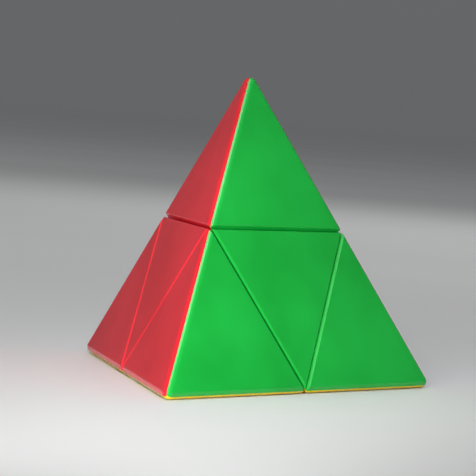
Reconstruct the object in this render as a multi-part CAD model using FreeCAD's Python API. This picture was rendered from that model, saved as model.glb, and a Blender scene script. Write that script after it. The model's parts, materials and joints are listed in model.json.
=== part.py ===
import FreeCAD, Part
import math
import os

# Tetrahedral 2x2x2 twisty puzzle: a regular tetrahedron cut by three square planes through its
# centre into four three-coloured corner pieces and four one-coloured face pieces.
#
# Every piece is drawn about the centre of the core, with the three turning axes along X, Y and Z.
# There the corners of the tetrahedron point along (1, 1, 1), (1, -1, -1), (-1, 1, -1) and
# (-1, -1, 1), and each turning axis leaves through the middle of an edge. At the end all pieces
# are stood on the yellow face, with one corner up and the green face towards -Y.

Vector = FreeCAD.Vector
Rotation = FreeCAD.Rotation
Placement = FreeCAD.Placement

# Outer body
EDGE_LENGTH = 90.0          # sharp corner to sharp corner
EDGE_RADIUS = 1.5           # rounding along the six outer edges
CAP_THICKNESS = 1.8         # coloured plastic skin
SEAM_GAP = 0.3              # running gap between pieces that turn against each other
GROOVE_DEPTH = 0.55         # bevel along every seam
GROOVE_LIP = 1.0            # how far the bevel's cutter stands out of the face

# Black bodies under the coloured caps
WALL = 1.4                  # walls of the hollow corner bodies
HUB_SIDE = 5.2              # block inside a corner body that carries the cap bosses
POST_RADIUS = 2.6
BOSS_RADIUS = 2.3
HUB_OVERLAP = 1.0           # how near to the middle of the hub its post and bosses end
PEG_RADIUS = 1.2
PEG_LENGTH = 4.0
PEG_PLAY = 0.05
PEG_ROOT = 0.5              # how far a peg runs into its cap
FACE_PEG_LENGTH = 2.5
FACE_PEG_SPREAD = 0.55      # from the middle of a face cap towards its corners

# Hidden mechanism: two concentric zones of interlocking pieces, parted by cones about the axes
CORE_REACH = 9.05           # end of the core's posts
INNER_RADIUS = 9.2
ZONE_RADIUS = 12.0
OUTER_RADIUS = 15.0
NECK_ROOT = 1.0             # how far a foot's neck runs into its outer piece
SPHERE_PLAY = 0.15          # radial gap between sliding pieces
INNER_LIMIT = 0.27          # cosine of the parting cones' half angle in the inner zone
OUTER_LIMIT = 0.42          # the same in the outer zone
CONE_PLAY = 0.0075          # half the gap at a cone, as a cosine

# Core, screws, springs and washers
BALL_RADIUS = 5.5
CORE_POST_RADIUS = 2.4
THREAD_BORE = 1.0
THREAD_BORE_START = 3.6
SCREW_RADIUS = 0.95
SCREW_START = 4.0
HEAD_START = 13.7
HEAD_END = 14.8
HEAD_RADIUS = 1.8
RECESS_WIDTH = 0.5
RECESS_LENGTH = 2.2
RECESS_DEPTH = 0.7
CENTRE_BORE = 1.1
POCKET_RADIUS = 2.0
POCKET_FLOOR = 10.6
WASHER_THICKNESS = 0.3
SPRING_WIRE = 0.4
SPRING_RADIUS = 1.45        # middle of the wire
SPRING_TURNS = 4.0
SPRING_PLAY = 0.05
SPRING_SIDES = 12           # the wire is drawn with this many sides

# Worked out
HALF = EDGE_LENGTH / (2.0 * math.sqrt(2.0))       # corner coordinate, and edge middle from centre
FACE_DISTANCE = HALF / math.sqrt(3.0)             # centre to face
REACH = 2.0 * HALF                                # longer than anything from the centre
ORIGIN = Vector(0, 0, 0)
X_AXIS = Vector(1, 0, 0)
Y_AXIS = Vector(0, 1, 0)
Z_AXIS = Vector(0, 0, 1)
AXES = (X_AXIS, Y_AXIS, Z_AXIS)
TOP_CORNER = Vector(1, 1, 1)
GREEN_NORMAL = Vector(1, 1, -1)
GREEN_INWARDS = Vector(-1, -1, 1).normalize()

# A half turn about no axis, X, Y and Z takes the top corner to each corner in turn, and the green
# face to each face in turn.
HALF_TURNS = (
    Rotation(),
    Rotation(X_AXIS, 180),
    Rotation(Y_AXIS, 180),
    Rotation(Z_AXIS, 180),
)
CORNER_NAMES = ("top", "front", "right", "back")
FACE_NAMES = ("green", "red", "blue", "yellow")
THIRD_TURNS = tuple(Rotation(TOP_CORNER, 120.0 * k) for k in range(3))

# Stands the finished puzzle on its yellow face.
STAND = Placement(
    Vector(0, 0, FACE_DISTANCE),
    Rotation(Vector(-1, 1, 0), Vector(-1, -1, 2), Vector(1, 1, 1), "ZXY").inverted(),
)


def turned(shape, *rotations):
    """A copy of a shape, turned about the centre by each rotation, the last one first."""
    result = shape.copy()
    for rotation in reversed(rotations):
        result.Placement = Placement(ORIGIN, rotation).multiply(result.Placement)
    return result


def save(name, *solids):
    """Write one node, stood on the yellow face."""
    shape = solids[0].copy() if len(solids) == 1 else Part.makeCompound(list(solids))
    shape.Placement = STAND.multiply(shape.Placement)
    if len(shape.Solids) != len(solids) or not shape.isValid():
        raise ValueError("not one sound solid for each piece in " + name)
    print(name, len(shape.Solids), round(shape.Volume, 1))
    shape.exportStep("parts/" + name + ".step")


def signs(vector):
    """The signs of a direction along the three axes."""
    return tuple(int(round(value)) for value in (vector.x, vector.y, vector.z))


def corner_and_face_names(direction):
    """The corner or face piece that lies in a direction."""
    places = {}
    for turn, corner, face in zip(HALF_TURNS, CORNER_NAMES, FACE_NAMES):
        places[signs(turn.multVec(TOP_CORNER))] = corner
        places[signs(turn.multVec(GREEN_NORMAL))] = face
    return places[signs(direction)]


def solid_from_points(points):
    """The tetrahedron on four points."""
    faces = []
    for left_out, far_point in enumerate(points):
        first, second, third = [p for index, p in enumerate(points) if index != left_out]
        if (second - first).cross(third - first).dot(far_point - first) > 0:
            second, third = third, second
        faces.append(Part.Face(Part.makePolygon([first, second, third, first])))
    shell = Part.Shell(faces)
    shell.sewShape()
    return Part.Solid(shell)


def tetrahedron(inset):
    """The whole puzzle's outline, with its faces moved in."""
    reach = HALF - inset * math.sqrt(3.0)
    return solid_from_points([turn.multVec(TOP_CORNER) * reach for turn in HALF_TURNS])


def octant(direction, inset):
    """A box that fills one eighth of space, from a little way off the three cut planes."""
    box = Part.makeBox(REACH, REACH, REACH, Vector(inset, inset, inset))
    mirror = FreeCAD.Matrix()
    mirror.A11, mirror.A22, mirror.A33 = signs(direction)
    return box.transformGeometry(mirror)


def rounded_skin():
    """The coloured outer layer in one piece, before it is cut up."""
    body = tetrahedron(0.0)
    body = body.makeFillet(EDGE_RADIUS, body.Edges)
    return body.cut(tetrahedron(CAP_THICKNESS))


def face_sector():
    """All that lies nearer to the green face than to any other."""
    corners = [HALF_TURNS[index].multVec(TOP_CORNER) * REACH for index in (0, 1, 2)]
    return solid_from_points([ORIGIN] + corners)


def seam_groove(cut_axis):
    """A V along the line where the plane across an axis cuts the green face."""
    normal = GREEN_INWARDS * -1
    along = normal.cross(cut_axis).normalize()
    across = normal.cross(along).normalize()
    on_line = normal * FACE_DISTANCE
    on_line = on_line - across * (on_line.dot(cut_axis) / across.dot(cut_axis))
    start = on_line - along * REACH
    half_width = GROOVE_DEPTH + GROOVE_LIP
    section = [
        start - normal * GROOVE_DEPTH,
        start + normal * GROOVE_LIP + across * half_width,
        start + normal * GROOVE_LIP - across * half_width,
    ]
    face = Part.Face(Part.makePolygon(section + section[:1]))
    return face.extrude(along * (2.0 * REACH))


def cone(axis, limit):
    """All directions whose cosine to an axis is over the limit."""
    slope = math.sqrt(1.0 - limit * limit) / limit
    return Part.makeCone(0.0, REACH * slope, REACH, ORIGIN, axis)


def sector(inner, outer, direction, out_limit, mid_limit):
    """Part of a spherical shell: beyond the cones of the axes that the direction leans to, and
    between the cones of the axes that it is square to."""
    shape = Part.makeSphere(outer).cut(Part.makeSphere(inner))
    for axis, sign in zip(AXES, signs(direction)):
        if sign:
            shape = shape.common(cone(axis * sign, out_limit + CONE_PLAY))
        else:
            shape = shape.cut(cone(axis, mid_limit - CONE_PLAY))
            shape = shape.cut(cone(axis * -1, mid_limit - CONE_PLAY))
    return shape


def piece_foot():
    """The neck and the wide foot that hold the top corner piece in the mechanism."""
    foot = sector(INNER_RADIUS, ZONE_RADIUS - SPHERE_PLAY / 2, TOP_CORNER, INNER_LIMIT, 0)
    neck = sector(INNER_RADIUS, OUTER_RADIUS + NECK_ROOT, TOP_CORNER, OUTER_LIMIT, 0)
    return foot.fuse(neck)


def inner_edge():
    """The hidden edge piece between X and Y: a head, a stem, and a foot wider across the head."""
    direction = X_AXIS + Y_AXIS
    stem = sector(INNER_RADIUS, OUTER_RADIUS, direction, OUTER_LIMIT, INNER_LIMIT)
    foot = sector(
        INNER_RADIUS, ZONE_RADIUS - SPHERE_PLAY / 2, direction, INNER_LIMIT, INNER_LIMIT
    )
    head = sector(
        ZONE_RADIUS + SPHERE_PLAY / 2, OUTER_RADIUS, direction, OUTER_LIMIT, OUTER_LIMIT
    )
    return stem.fuse([foot, head]).removeSplitter()


def turning_centre():
    """The hidden centre on X, with a narrow stem, a wide head, and a pocket for its spring."""
    stem = sector(INNER_RADIUS, OUTER_RADIUS, X_AXIS, OUTER_LIMIT, INNER_LIMIT)
    head = sector(
        ZONE_RADIUS + SPHERE_PLAY / 2, OUTER_RADIUS, X_AXIS, OUTER_LIMIT, OUTER_LIMIT
    )
    bore = Part.makeCylinder(CENTRE_BORE, REACH, ORIGIN, X_AXIS)
    pocket = Part.makeCylinder(POCKET_RADIUS, REACH, X_AXIS * POCKET_FLOOR, X_AXIS)
    return stem.fuse(head).removeSplitter().cut(bore).cut(pocket)


def core_spider():
    """A ball with a tapped post on each turning axis."""
    body = Part.makeSphere(BALL_RADIUS)
    directions = [axis * sign for axis in AXES for sign in (1, -1)]
    for direction in directions:
        body = body.fuse(Part.makeCylinder(CORE_POST_RADIUS, REACH, ORIGIN, direction))
    body = body.common(Part.makeSphere(CORE_REACH))
    for direction in directions:
        start = direction * THREAD_BORE_START
        body = body.cut(Part.makeCylinder(THREAD_BORE, REACH, start, direction))
    return body.removeSplitter()


def tension_screw():
    """The screw on X, with a cross recess in its head."""
    shank = Part.makeCylinder(SCREW_RADIUS, HEAD_START - SCREW_START, X_AXIS * SCREW_START, X_AXIS)
    head = Part.makeCylinder(HEAD_RADIUS, HEAD_END - HEAD_START, X_AXIS * HEAD_START, X_AXIS)
    screw = shank.fuse(head)
    for long_side, short_side in ((RECESS_LENGTH, RECESS_WIDTH), (RECESS_WIDTH, RECESS_LENGTH)):
        corner = Vector(HEAD_END - RECESS_DEPTH, -long_side / 2, -short_side / 2)
        screw = screw.cut(Part.makeBox(2 * RECESS_DEPTH, long_side, short_side, corner))
    return screw.removeSplitter()


def spring_washer():
    """The washer under the screw head on X."""
    start = X_AXIS * (HEAD_START - WASHER_THICKNESS)
    disc = Part.makeCylinder(HEAD_RADIUS, WASHER_THICKNESS, start, X_AXIS)
    return disc.cut(Part.makeCylinder(THREAD_BORE, WASHER_THICKNESS, start, X_AXIS))


def tension_spring():
    """The coil spring on X, between the pocket's floor and the washer."""
    space = HEAD_START - WASHER_THICKNESS - POCKET_FLOOR - 2 * SPRING_PLAY
    height = space - SPRING_WIRE
    helix = Part.makeHelix(height / SPRING_TURNS, height, SPRING_RADIUS)
    ring = []
    for side in range(SPRING_SIDES + 1):
        angle = 2.0 * math.pi * side / SPRING_SIDES
        outwards = SPRING_RADIUS + SPRING_WIRE / 2 * math.cos(angle)
        ring.append(Vector(outwards, 0, SPRING_WIRE / 2 * math.sin(angle)))
    coil = Part.Wire(helix.Edges).makePipeShell([Part.makePolygon(ring)], True, True)
    coil.translate(Z_AXIS * (POCKET_FLOOR + SPRING_PLAY + SPRING_WIRE / 2))
    return turned(coil, Rotation(Z_AXIS, X_AXIS))


def cap_peg_foot():
    """Where the peg of the top corner piece's green cap leaves the cap's inner side, in the middle
    of the triangle between the corner and two edge middles."""
    middle = (TOP_CORNER + X_AXIS + Y_AXIS) * (HALF / 3.0)
    return middle + GREEN_INWARDS * CAP_THICKNESS


def peg(foot, length):
    """A cap's peg, and what it runs into the cap."""
    start = foot - GREEN_INWARDS * PEG_ROOT
    return Part.makeCylinder(PEG_RADIUS, length + PEG_ROOT, start, GREEN_INWARDS)


def peg_socket(foot, length):
    """The hole that a peg is pressed into."""
    return Part.makeCylinder(PEG_RADIUS + PEG_PLAY, length + PEG_PLAY, foot, GREEN_INWARDS)


def corner_cap(skin):
    """The green cap of the top corner piece, mitred against its two neighbours."""
    cap = skin.common(octant(TOP_CORNER, SEAM_GAP / 2)).common(face_sector())
    cap = cap.cut(seam_groove(Z_AXIS))
    return cap.fuse(peg(cap_peg_foot(), PEG_LENGTH)).removeSplitter()


def corner_body(foot):
    """The hollow black body of the top corner piece: three walls on the cut planes, a dome over
    the mechanism, and a hub with a boss for each cap."""
    inside = tetrahedron(CAP_THICKNESS)
    dome = Part.makeSphere(OUTER_RADIUS + SPHERE_PLAY)
    block = inside.common(octant(TOP_CORNER, SEAM_GAP / 2)).cut(dome)
    hollow = octant(TOP_CORNER, SEAM_GAP / 2 + WALL)
    hollow = hollow.cut(Part.makeSphere(OUTER_RADIUS + SPHERE_PLAY + WALL))
    shell = block.cut(hollow)
    boss_start = cap_peg_foot()
    up = Vector(1, 1, 1).normalize()
    hub_centre = TOP_CORNER * (HALF / 2.0)
    post_start = OUTER_RADIUS + SPHERE_PLAY + WALL / 2
    post_length = hub_centre.Length - HUB_OVERLAP - post_start
    boss_length = (hub_centre - boss_start).Length - HUB_OVERLAP
    hub_corner = hub_centre - TOP_CORNER * (HUB_SIDE / 2)
    carrier = Part.makeBox(HUB_SIDE, HUB_SIDE, HUB_SIDE, hub_corner)
    carrier = carrier.fuse(Part.makeCylinder(POST_RADIUS, post_length, up * post_start, up))
    boss = Part.makeCylinder(BOSS_RADIUS, boss_length, boss_start, GREEN_INWARDS)
    for turn in THIRD_TURNS:
        carrier = carrier.fuse(turned(boss, turn))
    socket = peg_socket(boss_start, PEG_LENGTH)
    body = shell.fuse(carrier).fuse(foot)
    for turn in THIRD_TURNS:
        body = body.cut(turned(socket, turn))
    return body.removeSplitter()


def face_peg_feet():
    """Where the three pegs of the green face cap leave its inner side."""
    middle = GREEN_NORMAL * (HALF / 3.0)
    feet = []
    for axis in (X_AXIS, Y_AXIS, Z_AXIS * -1):
        spot = middle + (axis * HALF - middle) * FACE_PEG_SPREAD
        feet.append(spot + GREEN_INWARDS * CAP_THICKNESS)
    return feet


def face_cap(skin):
    """The green cap between the seams, with three pegs."""
    cap = skin.common(octant(GREEN_NORMAL, SEAM_GAP / 2))
    for axis in AXES:
        cap = cap.cut(seam_groove(axis))
    pegs = [peg(foot, FACE_PEG_LENGTH) for foot in face_peg_feet()]
    return cap.fuse(pegs).removeSplitter()


def face_body(foot):
    """The black body of the green face piece, shallow over the mechanism and deep at its tips."""
    dome = Part.makeSphere(OUTER_RADIUS + SPHERE_PLAY)
    block = tetrahedron(CAP_THICKNESS).common(octant(GREEN_NORMAL, SEAM_GAP / 2)).cut(dome)
    body = block.fuse(turned(foot, Rotation(X_AXIS, -90)))
    for peg_foot in face_peg_feet():
        body = body.cut(peg_socket(peg_foot, FACE_PEG_LENGTH))
    return body.removeSplitter()


def save_outer_pieces():
    """Four corner pieces of a body and three caps, and four face pieces of a body and one cap."""
    skin = rounded_skin()
    foot = piece_foot()
    top_body = corner_body(foot)
    top_cap = corner_cap(skin)
    green_body = face_body(foot)
    green_cap = face_cap(skin)
    for half_turn, corner, face in zip(HALF_TURNS, CORNER_NAMES, FACE_NAMES):
        save(corner + "_corner_body", turned(top_body, half_turn))
        for third_turn in THIRD_TURNS:
            normal = half_turn.multVec(third_turn.multVec(GREEN_NORMAL))
            colour = corner_and_face_names(normal)
            save(corner + "_corner_" + colour + "_cap", turned(top_cap, half_turn, third_turn))
        save(face + "_face_body", turned(green_body, half_turn))
        save(face + "_face_cap", turned(green_cap, half_turn))


def turned_on_axis(third, flip):
    """Takes +X to an axis, one way or the other."""
    return third.multiply(Rotation(Z_AXIS, flip))


def centre_name(direction):
    """A turning centre is named after the two corners whose edge it points at."""
    corners = [
        name
        for turn, name in zip(HALF_TURNS, CORNER_NAMES)
        if turn.multVec(TOP_CORNER).dot(direction) > 0
    ]
    return "turning_centre_" + "_".join(corners)


def beside(direction, outwards):
    """The name of the corner piece, or the face piece, that lies nearest to a direction."""
    nearest = max((turn.multVec(outwards) for turn in HALF_TURNS), key=direction.dot)
    return corner_and_face_names(nearest)


def edge_name(direction):
    """A hidden edge is named after the corner piece and the face piece that it lies between."""
    corner = beside(direction, TOP_CORNER)
    return "inner_edge_" + corner + "_" + beside(direction, GREEN_NORMAL)


def save_mechanism():
    """The core, six turning centres with their screws, springs and washers, and twelve edges."""
    save("core_spider", core_spider())
    axis_turns = [turned_on_axis(third, flip) for third in THIRD_TURNS for flip in (0, 180)]
    save("tension_screws", *[turned(tension_screw(), turn) for turn in axis_turns])
    save("spring_washers", *[turned(spring_washer(), turn) for turn in axis_turns])
    save("tension_springs", *[turned(tension_spring(), turn) for turn in axis_turns])
    centre = turning_centre()
    for turn in axis_turns:
        save(centre_name(turn.multVec(X_AXIS)), turned(centre, turn))
    edge = inner_edge()
    for third in THIRD_TURNS:
        for quarter in range(4):
            turn = third.multiply(Rotation(Z_AXIS, 90 * quarter))
            save(edge_name(turn.multVec(X_AXIS + Y_AXIS)), turned(edge, turn))


os.makedirs("parts", exist_ok=True)
save_outer_pieces()
save_mechanism()
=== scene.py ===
import json
import math

import bmesh
import bpy
from mathutils import Matrix, Vector


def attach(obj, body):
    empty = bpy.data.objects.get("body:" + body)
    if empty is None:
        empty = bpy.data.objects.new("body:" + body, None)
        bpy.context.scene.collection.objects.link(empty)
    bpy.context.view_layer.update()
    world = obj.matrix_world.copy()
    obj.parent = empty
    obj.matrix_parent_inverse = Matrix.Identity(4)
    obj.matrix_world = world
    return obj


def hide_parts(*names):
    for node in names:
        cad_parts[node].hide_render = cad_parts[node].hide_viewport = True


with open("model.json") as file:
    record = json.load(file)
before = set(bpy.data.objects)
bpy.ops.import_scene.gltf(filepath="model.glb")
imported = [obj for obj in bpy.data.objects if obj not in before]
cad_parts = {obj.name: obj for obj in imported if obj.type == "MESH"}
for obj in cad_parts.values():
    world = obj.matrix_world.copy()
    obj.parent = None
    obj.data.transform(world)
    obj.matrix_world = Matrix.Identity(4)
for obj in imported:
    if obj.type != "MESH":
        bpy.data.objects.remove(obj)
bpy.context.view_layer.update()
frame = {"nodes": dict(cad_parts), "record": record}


# Core, screws, washers and springs. The core is one pale nylon moulding with six tapped posts;
# a zinc-plated screw in each post presses a steel spring on a turning centre through a washer.

def new_material(name, colour, roughness):
    """A surface whose base colour, roughness and bump the caller joins up."""
    material = bpy.data.materials.new(name)
    material.use_nodes = True
    shader = material.node_tree.nodes["Principled BSDF"]
    shader.inputs["Base Color"].default_value = (*colour, 1.0)
    shader.inputs["Roughness"].default_value = roughness
    return material, material.node_tree, shader


def add_noise(tree, scale, detail):
    """Solid noise that stays with the piece."""
    place = tree.nodes.new("ShaderNodeTexCoord")
    noise = tree.nodes.new("ShaderNodeTexNoise")
    noise.inputs["Scale"].default_value = scale
    noise.inputs["Detail"].default_value = detail
    tree.links.new(place.outputs["Object"], noise.inputs["Vector"])
    return noise


# Noise seldom leaves its middle, so a range or a tint runs over that part only.
NOISE_LOW, NOISE_HIGH = 0.3, 0.7
TINT_LOW, TINT_HIGH = 0.35, 0.65


def spread(tree, source, low, high):
    """Maps noise on to a range."""
    mapping = tree.nodes.new("ShaderNodeMapRange")
    mapping.inputs["From Min"].default_value = NOISE_LOW
    mapping.inputs["From Max"].default_value = NOISE_HIGH
    mapping.inputs["To Min"].default_value = low
    mapping.inputs["To Max"].default_value = high
    tree.links.new(source, mapping.inputs["Value"])
    return mapping.outputs["Result"]


def add_bump(tree, shader, source, depth, strength):
    """Lets a value raise the surface by up to depth metres."""
    bump = tree.nodes.new("ShaderNodeBump")
    bump.inputs["Distance"].default_value = depth
    bump.inputs["Strength"].default_value = strength
    tree.links.new(source, bump.inputs["Height"])
    tree.links.new(bump.outputs["Normal"], shader.inputs["Normal"])


def tint(tree, shader, source, dark, light):
    """Runs the base colour from dark to light with a value."""
    ramp = tree.nodes.new("ShaderNodeValToRGB")
    ramp.color_ramp.elements[0].position = TINT_LOW
    ramp.color_ramp.elements[0].color = (*dark, 1.0)
    ramp.color_ramp.elements[1].position = TINT_HIGH
    ramp.color_ramp.elements[1].color = (*light, 1.0)
    tree.links.new(source, ramp.inputs["Fac"])
    tree.links.new(ramp.outputs["Color"], shader.inputs["Base Color"])


SATIN_CLOUDS = 180.0
SATIN_GRAIN = 5200.0
SATIN_GRAIN_DEPTH = 0.00002


def satin_plastic(name, dark, light, roughness):
    """A moulded inner part: fine spark-eroded grain, slightly uneven colour."""
    material, tree, shader = new_material(name, light, roughness)
    cloud = add_noise(tree, SATIN_CLOUDS, 3.0)
    tint(tree, shader, cloud.outputs["Fac"], dark, light)
    grain = add_noise(tree, SATIN_GRAIN, 2.0)
    rough = spread(tree, grain.outputs["Fac"], roughness - 0.06, roughness + 0.08)
    tree.links.new(rough, shader.inputs["Roughness"])
    add_bump(tree, shader, grain.outputs["Fac"], SATIN_GRAIN_DEPTH, 0.5)
    return material


ZINC_DARK, ZINC_LIGHT = (0.50, 0.50, 0.53), (0.68, 0.68, 0.69)
ZINC_CLOUDS = 900.0
ZINC_MARKS = 9000.0
ZINC_MARK_DEPTH = 0.00001


def plated_steel(name):
    """Bright zinc with fine turning marks."""
    material, tree, shader = new_material(name, ZINC_LIGHT, 0.28)
    shader.inputs["Metallic"].default_value = 1.0
    cloud = add_noise(tree, ZINC_CLOUDS, 4.0)
    tint(tree, shader, cloud.outputs["Fac"], ZINC_DARK, ZINC_LIGHT)
    marks = add_noise(tree, ZINC_MARKS, 1.0)
    rough = spread(tree, marks.outputs["Fac"], 0.2, 0.38)
    tree.links.new(rough, shader.inputs["Roughness"])
    add_bump(tree, shader, marks.outputs["Fac"], ZINC_MARK_DEPTH, 0.4)
    return material


def finish_node(node, material):
    """Gives every slot of a carried-over node one material."""
    for slot in frame["nodes"][node].material_slots:
        slot.material = material


NYLON_DARK, NYLON_LIGHT = (0.56, 0.56, 0.52), (0.66, 0.66, 0.63)
finish_node("core_spider", satin_plastic("core_nylon", NYLON_DARK, NYLON_LIGHT, 0.42))
zinc = plated_steel("zinc_plate")
for steel_node in ("tension_screws", "spring_washers", "tension_springs"):
    finish_node(steel_node, zinc)


# Turning centres and hidden edges. Black acetal mouldings between the core and the outer pieces,
# held only by their own shapes, and greased, so they shine a little.

ACETAL_DARK, ACETAL_LIGHT = (0.012, 0.012, 0.014), (0.022, 0.022, 0.025)
greased_black = satin_plastic("greased_black_acetal", ACETAL_DARK, ACETAL_LIGHT, 0.3)
for node in frame["nodes"]:
    if node.startswith(("turning_centre_", "inner_edge_")):
        finish_node(node, greased_black)


# Corner and face bodies. Hollow black mouldings that carry the coloured caps and end in the feet
# that lock them into the mechanism. They show only in the seams and when a half is turned.

BODY_DARK, BODY_LIGHT = (0.010, 0.010, 0.011), (0.020, 0.020, 0.022)
body_black = satin_plastic("body_black_plastic", BODY_DARK, BODY_LIGHT, 0.4)
for node in frame["nodes"]:
    if node.endswith(("_corner_body", "_face_body")):
        finish_node(node, body_black)


# Corner caps. Glossy coloured shells 1.8 mm thick, three to a corner, mitred along the rounded
# outer edges and pegged to the body. All twelve have the shape of the top corner's green one.

EDGE_LENGTH = 0.090
EDGE_RADIUS = 0.0015
CAP_THICKNESS = 0.0018
SEAM_GAP = 0.0003
HALF = EDGE_LENGTH / math.sqrt(8.0)
FACE_DISTANCE = HALF / math.sqrt(3.0)
CORNER_DISTANCE = 3.0 * FACE_DISTANCE
CENTRE = Vector((0.0, 0.0, FACE_DISTANCE))

# The turning axes leave through the middles of the edges: top to front, top to right, top to back.
TURNING_AXES = (
    Vector((-1 / math.sqrt(2), -1 / math.sqrt(6), 1 / math.sqrt(3))),
    Vector((1 / math.sqrt(2), -1 / math.sqrt(6), 1 / math.sqrt(3))),
    Vector((0.0, 2 / math.sqrt(6), 1 / math.sqrt(3))),
)


def from_centre(first, second, third):
    """What three steps along the turning axes add up to."""
    return TURNING_AXES[0] * first + TURNING_AXES[1] * second + TURNING_AXES[2] * third


def towards(first, second, third):
    """A direction from its shares along the three turning axes."""
    return from_centre(first, second, third).normalized()


FACE_OUT = {
    "green": towards(1, 1, -1),
    "red": towards(1, -1, 1),
    "blue": towards(-1, 1, 1),
    "yellow": towards(-1, -1, -1),
}
GREEN_OUT = FACE_OUT["green"]


def open_for_editing(piece):
    """Edit mode on one piece alone, with nothing selected in it."""
    bpy.ops.object.select_all(action="DESELECT")
    piece.select_set(True)
    bpy.context.view_layer.objects.active = piece
    bpy.ops.object.mode_set(mode="EDIT")
    bpy.ops.mesh.select_mode(type="EDGE")
    bpy.ops.mesh.select_all(action="DESELECT")
    return bmesh.from_edit_mesh(piece.data)


def close_editing():
    bpy.ops.object.mode_set(mode="OBJECT")


BALL_CUTS = 11
FLAT_ANGLE = math.radians(0.5)


def tetrahedron_block(name):
    """The whole puzzle's outline: the skin round four small balls, one inside each corner."""
    bpy.ops.object.select_all(action="DESELECT")
    bpy.ops.mesh.primitive_cube_add(size=2.0)
    ball = bpy.context.object
    open_for_editing(ball)
    bpy.ops.mesh.select_all(action="SELECT")
    bpy.ops.mesh.subdivide(number_cuts=BALL_CUTS)
    close_editing()
    to_turning_axes = Matrix(TURNING_AXES).transposed()
    for vertex in ball.data.vertices:
        vertex.co = to_turning_axes @ vertex.co.normalized() * EDGE_RADIUS
    balls = []
    for face_out in FACE_OUT.values():
        middle = CENTRE - face_out * (CORNER_DISTANCE - 3.0 * EDGE_RADIUS)
        copy = ball.copy()
        copy.data = ball.data.copy()
        copy.data.transform(Matrix.Translation(middle))
        bpy.context.scene.collection.objects.link(copy)
        balls.append(copy)
    bpy.data.objects.remove(ball)
    bpy.ops.object.select_all(action="DESELECT")
    for copy in balls:
        copy.select_set(True)
    bpy.context.view_layer.objects.active = balls[0]
    bpy.ops.object.join()
    block = balls[0]
    block.name = name
    open_for_editing(block)
    bpy.ops.mesh.select_mode(type="VERT")
    bpy.ops.mesh.select_all(action="SELECT")
    bpy.ops.mesh.convex_hull()
    bpy.ops.mesh.select_all(action="SELECT")
    bpy.ops.mesh.dissolve_limited(angle_limit=FLAT_ANGLE)
    bpy.ops.mesh.normals_make_consistent(inside=False)
    close_editing()
    return block


def cut_off(piece, planes):
    """Cuts a piece at each plane, closes the cut and throws away what lies beyond. A plane is a
    direction and its distance from the centre of the core that way."""
    open_for_editing(piece)
    for direction, distance in planes:
        bpy.ops.mesh.select_all(action="SELECT")
        bpy.ops.mesh.bisect(
            plane_co=CENTRE + direction * distance, plane_no=direction,
            use_fill=True, clear_outer=True, threshold=1e-7,
        )
    close_editing()


def rounding(first, second, radius, steps):
    """The planes that touch a round between two planes."""
    angle = first[0].angle(second[0])
    planes = []
    for step in range(1, steps):
        first_share = math.sin(angle * (1.0 - step / steps)) / math.sin(angle)
        second_share = math.sin(angle * step / steps) / math.sin(angle)
        direction = first[0] * first_share + second[0] * second_share
        distance = first_share * (first[1] - radius) + second_share * (second[1] - radius)
        planes.append((direction, distance + radius))
    return planes


GREEN_FACE = (GREEN_OUT, FACE_DISTANCE)
EDGE_STEPS = 4
CREST_DISTANCE = HALF - (math.sqrt(3.0) - 1.0) * EDGE_RADIUS


def outer_surface(*edges):
    """The green face, and the rounds along some of its edges as far as their crests."""
    planes = [GREEN_FACE]
    for edge in edges:
        crest = (edge, CREST_DISTANCE)
        planes += rounding(GREEN_FACE, crest, EDGE_RADIUS, EDGE_STEPS) + [crest]
    return planes


def round_rim(piece, wall, surface, radius, steps):
    """Rounds the rim between a wall and the outer surface."""
    for plane in surface:
        cut_off(piece, rounding(plane, wall, radius, steps))


PEG_RADIUS = 0.0012
PEG_ROOT = 0.0005
PEG_TIP_BREAK = 0.0003
PEG_SIDES = 40


def grow_peg(cap, foot, length):
    """A round peg with a broken end, grown from the inner side of a green cap."""
    bpy.ops.object.select_all(action="DESELECT")
    bpy.ops.mesh.primitive_cylinder_add(
        vertices=PEG_SIDES, radius=PEG_RADIUS, depth=length + PEG_ROOT,
        location=foot + GREEN_OUT * (PEG_ROOT - length) / 2.0,
        rotation=GREEN_OUT.to_track_quat("Z", "Y").to_euler(),
    )
    peg = bpy.context.object
    mesh = open_for_editing(peg)
    for edge in mesh.edges:
        edge.select = all(vertex.co.z < 0.0 for vertex in edge.verts)
    bmesh.update_edit_mesh(peg.data)
    bpy.ops.mesh.bevel(offset=PEG_TIP_BREAK, segments=2)
    close_editing()
    bpy.context.view_layer.objects.active = cap
    union = cap.modifiers.new("peg", "BOOLEAN")
    union.operation = "UNION"
    union.object = peg
    bpy.ops.object.modifier_apply(modifier=union.name)
    bpy.data.objects.remove(peg)


SHARP_ANGLE = math.radians(28.0)


def smooth_rounds(cap):
    """Smooth shading over the rounds that leaves the flat faces flat."""
    bpy.ops.object.select_all(action="DESELECT")
    cap.select_set(True)
    bpy.context.view_layer.objects.active = cap
    bpy.ops.object.shade_smooth_by_angle(angle=SHARP_ANGLE)
    flatten = cap.modifiers.new("flat_faces", "WEIGHTED_NORMAL")
    flatten.weight = 100
    flatten.keep_sharp = True
    bpy.ops.object.modifier_apply(modifier=flatten.name)


INNER_SIDE = (-GREEN_OUT, CAP_THICKNESS - FACE_DISTANCE)
CORNER_RIM = 0.0003
CORNER_RIM_STEPS = 3
CORNER_NOTCH = 0.0004
CORNER_PEG_LENGTH = 0.004

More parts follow.
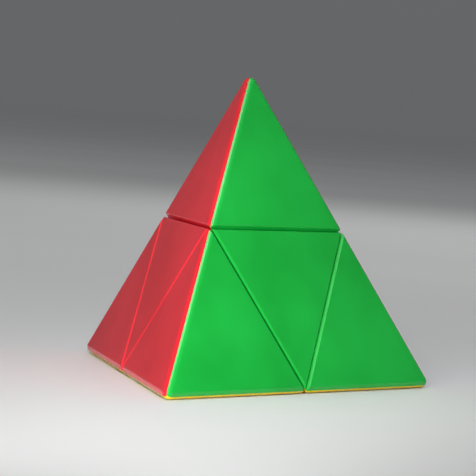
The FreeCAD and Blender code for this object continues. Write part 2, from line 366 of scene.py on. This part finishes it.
corner_cap = tetrahedron_block("corner_cap_model")
seam_wall = (towards(0, 0, -1), -SEAM_GAP / 2.0)
mitres = ((towards(0, -1, 1), 0.0), (towards(-1, 0, 1), 0.0))
cut_off(corner_cap, (seam_wall, *mitres, INNER_SIDE))
round_rim(
    corner_cap, seam_wall, outer_surface(towards(1, 0, 0), towards(0, 1, 0)),
    CORNER_RIM, CORNER_RIM_STEPS,
)
for edge, notch_out in (
    (towards(1, 0, 0), towards(0, -1, -1)),
    (towards(0, 1, 0), towards(-1, 0, -1)),
):
    notch_wall = (notch_out, -CORNER_NOTCH)
    cut_off(corner_cap, [notch_wall] + rounding(seam_wall, notch_wall, CORNER_RIM, CORNER_RIM_STEPS))
    round_rim(corner_cap, notch_wall, outer_surface(edge), CORNER_RIM, CORNER_RIM_STEPS)
corner_triangle_middle = CENTRE + from_centre(2, 2, 1) * HALF / 3.0
grow_peg(corner_cap, corner_triangle_middle - GREEN_OUT * CAP_THICKNESS, CORNER_PEG_LENGTH)
smooth_rounds(corner_cap)


ABS_CLOUDS = 45.0
ABS_HAZE = 420.0
ABS_PEEL = 700.0
ABS_PEEL_DEPTH = 0.00002
ABS_IOR = 1.53


def glossy_plastic(name, dark, light):
    """Coloured ABS from a polished mould: faint cloudiness and a trace of orange peel."""
    material, tree, shader = new_material(name, light, 0.2)
    cloud = add_noise(tree, ABS_CLOUDS, 2.0)
    tint(tree, shader, cloud.outputs["Fac"], dark, light)
    haze = add_noise(tree, ABS_HAZE, 4.0)
    rough = spread(tree, haze.outputs["Fac"], 0.16, 0.25)
    tree.links.new(rough, shader.inputs["Roughness"])
    peel = add_noise(tree, ABS_PEEL, 1.0)
    add_bump(tree, shader, peel.outputs["Fac"], ABS_PEEL_DEPTH, 0.25)
    shader.inputs["IOR"].default_value = ABS_IOR
    return material


PLASTICS = {
    "green": glossy_plastic("green_abs", (0.004, 0.36, 0.035), (0.008, 0.44, 0.050)),
    "red": glossy_plastic("red_abs", (0.66, 0.014, 0.024), (0.76, 0.020, 0.034)),
    "blue": glossy_plastic("blue_abs", (0.006, 0.080, 0.50), (0.010, 0.105, 0.60)),
    "yellow": glossy_plastic("yellow_abs", (0.80, 0.58, 0.005), (0.88, 0.66, 0.010)),
}


def body_of(node):
    """The moving body that a node belongs to."""
    for body, nodes in frame["record"]["behaviour"]["bodies"].items():
        if node in nodes:
            return body


def about_centre(axis, degrees):
    """A turn about an axis through the core."""
    to_centre = Matrix.Translation(CENTRE)
    return to_centre @ Matrix.Rotation(math.radians(degrees), 4, axis) @ to_centre.inverted()


def copy_cap(model, turn, name, node, colour):
    """A copy of a cap with its own mesh, turned to its place, in its colour."""
    cap = model.copy()
    cap.data = model.data.copy()
    cap.name = name
    cap.data.name = name
    cap.data.transform(turn)
    bpy.context.scene.collection.objects.link(cap)
    cap.data.materials.clear()
    cap.data.materials.append(PLASTICS[colour])
    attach(cap, body_of(node))
    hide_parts(node)


# A half turn about no axis, or about one of the three, takes the top corner to each corner in
# turn and the green face to each face in turn.
HALF_TURNS = [Matrix.Identity(4)] + [about_centre(axis, 180.0) for axis in TURNING_AXES]
CORNERS = ("top", "front", "right", "back")

for corner, half_turn in zip(CORNERS, HALF_TURNS):
    for third in range(3):
        turn = half_turn @ about_centre(Vector((0.0, 0.0, 1.0)), 120.0 * third)
        outwards = turn.to_3x3() @ GREEN_OUT
        colour = max(FACE_OUT, key=lambda name: FACE_OUT[name].dot(outwards))
        node = corner + "_corner_" + colour + "_cap"
        copy_cap(corner_cap, turn, corner + "_" + colour + "_shell", node, colour)
bpy.data.objects.remove(corner_cap)


# Face caps. One triangle of glossy shell between the seams of each face, pegged to its body at
# three points. Its rims are rounded more than the corners' are, and its points are cut short.

FACE_RIM = 0.0006
FACE_RIM_STEPS = 7
FACE_NOTCH = 0.0016
FACE_PEG_LENGTH = 0.0025
FACE_PEG_SPREAD = 0.55

face_cap = tetrahedron_block("face_cap_model")
face_edges = (towards(1, 0, 0), towards(0, 1, 0), towards(0, 0, -1))
face_walls = [(-edge, -SEAM_GAP / 2.0) for edge in face_edges]
cut_off(face_cap, face_walls + [INNER_SIDE])
cut_off(face_cap, [(edge, HALF - FACE_NOTCH) for edge in face_edges])
for edge, wall in zip(face_edges, face_walls):
    crossed = [other for other in face_edges if other is not edge]
    round_rim(face_cap, wall, outer_surface(*crossed), FACE_RIM, FACE_RIM_STEPS)
face_middle = CENTRE + GREEN_OUT * FACE_DISTANCE
for edge in face_edges:
    peg_spot = face_middle + (CENTRE + edge * HALF - face_middle) * FACE_PEG_SPREAD
    grow_peg(face_cap, peg_spot - GREEN_OUT * CAP_THICKNESS, FACE_PEG_LENGTH)
smooth_rounds(face_cap)

for colour, half_turn in zip(FACE_OUT, HALF_TURNS):
    copy_cap(face_cap, half_turn, colour + "_middle_shell", colour + "_face_cap", colour)
bpy.data.objects.remove(face_cap)


# Studio. A wide pale floor that fades into an even grey room, with softboxes overhead, above the
# front edge, behind, and low in front. The camera is just above the floor, with a long lens.

FLOOR_RADIUS = 30.0
FLOOR_SIDES = 96
FLOOR_CLEARANCE = 0.0001
FLOOR_DARK, FLOOR_LIGHT = (0.76, 0.76, 0.755), (0.79, 0.79, 0.785)
FLOOR_CLOUDS = 3.0

bpy.ops.object.select_all(action="DESELECT")
bpy.ops.mesh.primitive_circle_add(
    vertices=FLOOR_SIDES, radius=FLOOR_RADIUS, fill_type="NGON",
    location=(0.0, 0.0, -FLOOR_CLEARANCE),
)
floor = bpy.context.object
floor.name = "studio_floor"
floor_paint, floor_tree, floor_shader = new_material("floor_paint", FLOOR_LIGHT, 0.7)
floor_cloud = add_noise(floor_tree, FLOOR_CLOUDS, 3.0)
tint(floor_tree, floor_shader, floor_cloud.outputs["Fac"], FLOOR_DARK, FLOOR_LIGHT)
floor_shader.inputs["Specular IOR Level"].default_value = 0.2
floor.data.materials.append(floor_paint)

ROOM_LOW = (0.130, 0.132, 0.136)
ROOM_HIGH = (0.175, 0.178, 0.183)
world = bpy.data.worlds.new("grey_room")
world.use_nodes = True
room = world.node_tree
room_place = room.nodes.new("ShaderNodeTexCoord")
room_height = room.nodes.new("ShaderNodeSeparateXYZ")
room_ramp = room.nodes.new("ShaderNodeValToRGB")
room_ramp.color_ramp.elements[0].position = 0.0
room_ramp.color_ramp.elements[0].color = (*ROOM_LOW, 1.0)
room_ramp.color_ramp.elements[1].position = 0.9
room_ramp.color_ramp.elements[1].color = (*ROOM_HIGH, 1.0)
room.links.new(room_place.outputs["Generated"], room_height.inputs["Vector"])
room.links.new(room_height.outputs["Z"], room_ramp.inputs["Fac"])
room.links.new(room_ramp.outputs["Color"], room.nodes["Background"].inputs["Color"])
bpy.context.scene.world = world
bpy.context.scene.view_settings.view_transform = "Standard"


def away_from_puzzle(azimuth, elevation):
    """The direction of a lamp or the camera: azimuth 0 is in front of the green face."""
    turn, lift = math.radians(azimuth), math.radians(elevation)
    return Vector((
        math.sin(turn) * math.cos(lift),
        -math.cos(turn) * math.cos(lift),
        math.sin(lift),
    ))


def soft_lamp(name, azimuth, elevation, distance, size, power):
    """A square softbox that points at the puzzle, and is seen only as a gloss on it."""
    lamp = bpy.data.lights.new(name, "AREA")
    lamp.shape = "SQUARE"
    lamp.size = size
    lamp.energy = power
    holder = bpy.data.objects.new(name, lamp)
    away = away_from_puzzle(azimuth, elevation)
    holder.location = CENTRE + away * distance
    holder.rotation_euler = away.to_track_quat("Z", "Y").to_euler()
    holder.visible_camera = False
    bpy.context.scene.collection.objects.link(holder)
    return holder


soft_lamp("overhead_lamp", azimuth=-45.0, elevation=86.0, distance=2.5, size=2.4, power=14.0)
soft_lamp("edge_lamp", azimuth=-52.0, elevation=64.0, distance=0.6, size=0.14, power=0.45)
back_lamp = soft_lamp(
    "back_lamp", azimuth=120.0, elevation=38.0, distance=1.1, size=0.7, power=2.0
)
back_lamp.visible_glossy = False
front_lamp = soft_lamp(
    "front_lamp", azimuth=-56.0, elevation=13.0, distance=0.19, size=0.10, power=0.08
)
front_lamp.data.spread = math.radians(70.0)
front_lamp.visible_glossy = False

CAMERA_AZIMUTH = -45.2
CAMERA_ELEVATION = 3.1
CAMERA_LEAN = 4.4
CAMERA_DISTANCE = 0.524
LENS = 170.0
SENSOR_WIDTH = 36.0
AIM = Vector((0.0, 0.0, 0.45 * (FACE_DISTANCE + CORNER_DISTANCE)))

camera_data = bpy.data.cameras.new("camera")
camera_data.lens = LENS
camera_data.sensor_width = SENSOR_WIDTH
camera = bpy.data.objects.new("camera", camera_data)
look_from = away_from_puzzle(CAMERA_AZIMUTH, CAMERA_ELEVATION)
camera.location = AIM + look_from * CAMERA_DISTANCE
lean = Matrix.Rotation(math.radians(CAMERA_LEAN), 4, "Z")
camera.rotation_euler = (look_from.to_track_quat("Z", "Y").to_matrix().to_4x4() @ lean).to_euler()
bpy.context.scene.collection.objects.link(camera)
bpy.context.scene.camera = camera
